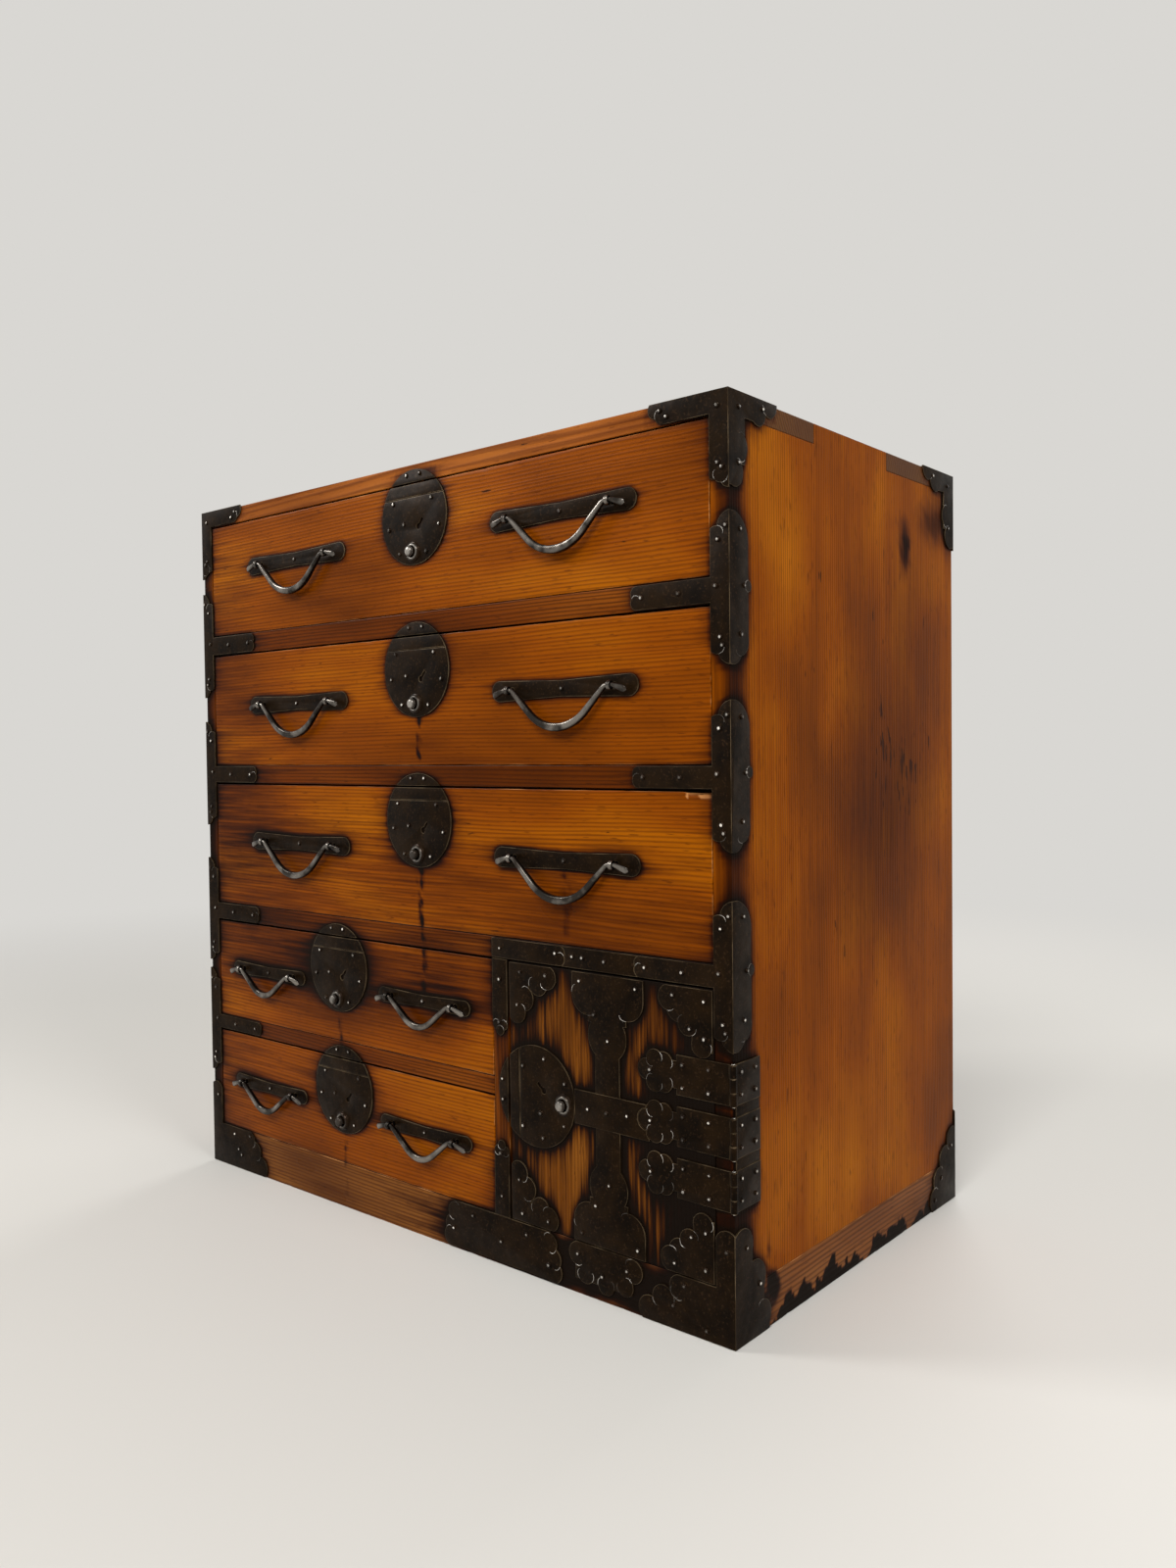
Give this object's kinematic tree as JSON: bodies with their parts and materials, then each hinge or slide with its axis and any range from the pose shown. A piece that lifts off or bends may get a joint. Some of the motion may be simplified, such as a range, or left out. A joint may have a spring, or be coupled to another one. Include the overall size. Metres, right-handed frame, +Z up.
{
  "type": "tansu chest",
  "caption": "Wooden clothing chest with sliding drawers, a small locked door and hand-forged iron fittings.",
  "frame": {"origin": "middle of the chest's footprint, on the floor", "axes": "+Z up, the drawers and the door face -Y, +X to the chest's right as seen from the front"},
  "size_m": [0.7735, 0.4589, 0.8013],
  "materials": {
    "case_wood": "cedar with a warm brown wiped lacquer, worn at the edges",
    "front_wood": "cedar with a warm orange-brown wiped lacquer, smoke-dark round the iron",
    "bare_wood": "unfinished softwood, aged",
    "iron": "hand-cut sheet iron, lacquer-blackened, satin, faint rust",
    "worn_iron": "forged iron, rubbed bright by hands"
  },
  "bodies": {
    "case": {"side_board_left": "case_wood", "side_board_right": "case_wood", "top_board": "case_wood", "bottom_board": "bare_wood", "base_rails": "case_wood", "back_boards": "bare_wood", "front_rails": "case_wood", "door_post": "case_wood", "partition": "bare_wood", "dust_boards": "bare_wood", "safe_shelf": "bare_wood", "stops": "bare_wood", "corner_irons": "iron", "foot_irons": "iron", "edge_irons": "iron", "lock_keepers": "iron", "case_hinge_leaves": "iron", "hinge_pins": "worn_iron", "case_nails": "worn_iron"},
    "door": {"door_board": "front_wood", "door_irons": "iron", "door_hinge_leaves": "iron", "door_lock": "iron"},
    "door_bolt": {"door_bolt": "worn_iron"},
    "door_knob": {"door_knob": "worn_iron"},
    "drawer_1": {"drawer_1_front": "front_wood", "drawer_1_box": "bare_wood", "drawer_1_ironwork": "iron"},
    "drawer_1_knob": {"drawer_1_knob": "worn_iron"},
    "drawer_1_bolt": {"drawer_1_bolt": "worn_iron"},
    "drawer_1_bail_left": {"drawer_1_bail_left": "worn_iron"},
    "drawer_1_bail_right": {"drawer_1_bail_right": "worn_iron"},
    "drawer_2": {"drawer_2_front": "front_wood", "drawer_2_box": "bare_wood", "drawer_2_ironwork": "iron"},
    "drawer_2_knob": {"drawer_2_knob": "worn_iron"},
    "drawer_2_bolt": {"drawer_2_bolt": "worn_iron"},
    "drawer_2_bail_left": {"drawer_2_bail_left": "worn_iron"},
    "drawer_2_bail_right": {"drawer_2_bail_right": "worn_iron"},
    "drawer_3": {"drawer_3_front": "front_wood", "drawer_3_box": "bare_wood", "drawer_3_ironwork": "iron"},
    "drawer_3_knob": {"drawer_3_knob": "worn_iron"},
    "drawer_3_bolt": {"drawer_3_bolt": "worn_iron"},
    "drawer_3_bail_left": {"drawer_3_bail_left": "worn_iron"},
    "drawer_3_bail_right": {"drawer_3_bail_right": "worn_iron"},
    "drawer_4": {"drawer_4_front": "front_wood", "drawer_4_box": "bare_wood", "drawer_4_ironwork": "iron"},
    "drawer_4_knob": {"drawer_4_knob": "worn_iron"},
    "drawer_4_bolt": {"drawer_4_bolt": "worn_iron"},
    "drawer_4_bail_left": {"drawer_4_bail_left": "worn_iron"},
    "drawer_4_bail_right": {"drawer_4_bail_right": "worn_iron"},
    "drawer_5": {"drawer_5_front": "front_wood", "drawer_5_box": "bare_wood", "drawer_5_ironwork": "iron"},
    "drawer_5_knob": {"drawer_5_knob": "worn_iron"},
    "drawer_5_bolt": {"drawer_5_bolt": "worn_iron"},
    "drawer_5_bail_left": {"drawer_5_bail_left": "worn_iron"},
    "drawer_5_bail_right": {"drawer_5_bail_right": "worn_iron"}
  },
  "joints": [
    {"name": "door_hinge", "type": "hinge", "parent": "case", "child": "door", "pos_m": [0.3842, -0.2222, 0.1787], "axis": [0, 0, 1], "range_deg": [0, 240]},
    {"name": "door_knob_push", "type": "slide", "parent": "door", "child": "door_knob", "axis": [0, 1, 0], "range_m": [0, 0.004]},
    {"name": "door_bolt_slide", "type": "slide", "parent": "door", "child": "door_bolt", "axis": [-1, 0, 0], "range_m": [0, 0.007]},
    {"name": "drawer_1_slide", "type": "slide", "parent": "case", "child": "drawer_1", "axis": [0, -1, 0], "range_m": [0, 0.32]},
    {"name": "drawer_1_knob_push", "type": "slide", "parent": "drawer_1", "child": "drawer_1_knob", "axis": [0, 1, 0], "range_m": [0, 0.004]},
    {"name": "drawer_1_bolt_slide", "type": "slide", "parent": "drawer_1", "child": "drawer_1_bolt", "axis": [0, 0, 1], "range_m": [0, 0.007]},
    {"name": "drawer_1_bail_left_swing", "type": "hinge", "parent": "drawer_1", "child": "drawer_1_bail_left", "pos_m": [-0.2, -0.23, 0.7239], "axis": [-1, 0, 0], "range_deg": [0, 160]},
    {"name": "drawer_1_bail_right_swing", "type": "hinge", "parent": "drawer_1", "child": "drawer_1_bail_right", "pos_m": [0.2, -0.23, 0.7239], "axis": [-1, 0, 0], "range_deg": [0, 160]},
    {"name": "drawer_2_slide", "type": "slide", "parent": "case", "child": "drawer_2", "axis": [0, -1, 0], "range_m": [0, 0.32]},
    {"name": "drawer_2_knob_push", "type": "slide", "parent": "drawer_2", "child": "drawer_2_knob", "axis": [0, 1, 0], "range_m": [0, 0.004]},
    {"name": "drawer_2_bolt_slide", "type": "slide", "parent": "drawer_2", "child": "drawer_2_bolt", "axis": [0, 0, 1], "range_m": [0, 0.007]},
    {"name": "drawer_2_bail_left_swing", "type": "hinge", "parent": "drawer_2", "child": "drawer_2_bail_left", "pos_m": [-0.2, -0.23, 0.5614], "axis": [-1, 0, 0], "range_deg": [0, 160]},
    {"name": "drawer_2_bail_right_swing", "type": "hinge", "parent": "drawer_2", "child": "drawer_2_bail_right", "pos_m": [0.2, -0.23, 0.5614], "axis": [-1, 0, 0], "range_deg": [0, 160]},
    {"name": "drawer_3_slide", "type": "slide", "parent": "case", "child": "drawer_3", "axis": [0, -1, 0], "range_m": [0, 0.32]},
    {"name": "drawer_3_knob_push", "type": "slide", "parent": "drawer_3", "child": "drawer_3_knob", "axis": [0, 1, 0], "range_m": [0, 0.004]},
    {"name": "drawer_3_bolt_slide", "type": "slide", "parent": "drawer_3", "child": "drawer_3_bolt", "axis": [0, 0, 1], "range_m": [0, 0.007]},
    {"name": "drawer_3_bail_left_swing", "type": "hinge", "parent": "drawer_3", "child": "drawer_3_bail_left", "pos_m": [-0.2, -0.23, 0.4019], "axis": [-1, 0, 0], "range_deg": [0, 160]},
    {"name": "drawer_3_bail_right_swing", "type": "hinge", "parent": "drawer_3", "child": "drawer_3_bail_right", "pos_m": [0.2, -0.23, 0.4019], "axis": [-1, 0, 0], "range_deg": [0, 160]},
    {"name": "drawer_4_slide", "type": "slide", "parent": "case", "child": "drawer_4", "axis": [0, -1, 0], "range_m": [0, 0.32]},
    {"name": "drawer_4_knob_push", "type": "slide", "parent": "drawer_4", "child": "drawer_4_knob", "axis": [0, 1, 0], "range_m": [0, 0.004]},
    {"name": "drawer_4_bolt_slide", "type": "slide", "parent": "drawer_4", "child": "drawer_4_bolt", "axis": [0, 0, 1], "range_m": [0, 0.007]},
    {"name": "drawer_4_bail_left_swing", "type": "hinge", "parent": "drawer_4", "child": "drawer_4_bail_left", "pos_m": [-0.26425, -0.23, 0.2469], "axis": [-1, 0, 0], "range_deg": [0, 160]},
    {"name": "drawer_4_bail_right_swing", "type": "hinge", "parent": "drawer_4", "child": "drawer_4_bail_right", "pos_m": [0.00375, -0.23, 0.2469], "axis": [-1, 0, 0], "range_deg": [0, 160]},
    {"name": "drawer_5_slide", "type": "slide", "parent": "case", "child": "drawer_5", "axis": [0, -1, 0], "range_m": [0, 0.32]},
    {"name": "drawer_5_knob_push", "type": "slide", "parent": "drawer_5", "child": "drawer_5_knob", "axis": [0, 1, 0], "range_m": [0, 0.004]},
    {"name": "drawer_5_bolt_slide", "type": "slide", "parent": "drawer_5", "child": "drawer_5_bolt", "axis": [0, 0, 1], "range_m": [0, 0.007]},
    {"name": "drawer_5_bail_left_swing", "type": "hinge", "parent": "drawer_5", "child": "drawer_5_bail_left", "pos_m": [-0.26425, -0.23, 0.1099], "axis": [-1, 0, 0], "range_deg": [0, 160]},
    {"name": "drawer_5_bail_right_swing", "type": "hinge", "parent": "drawer_5", "child": "drawer_5_bail_right", "pos_m": [0.00375, -0.23, 0.1099], "axis": [-1, 0, 0], "range_deg": [0, 160]}
  ],
  "couplings": [
    {"joint": "door_bolt_slide", "follows": "door_knob_push", "ratio": 1.75},
    {"joint": "drawer_1_bolt_slide", "follows": "drawer_1_knob_push", "ratio": 1.75},
    {"joint": "drawer_2_bolt_slide", "follows": "drawer_2_knob_push", "ratio": 1.75},
    {"joint": "drawer_3_bolt_slide", "follows": "drawer_3_knob_push", "ratio": 1.75},
    {"joint": "drawer_4_bolt_slide", "follows": "drawer_4_knob_push", "ratio": 1.75},
    {"joint": "drawer_5_bolt_slide", "follows": "drawer_5_knob_push", "ratio": 1.75}
  ]
}
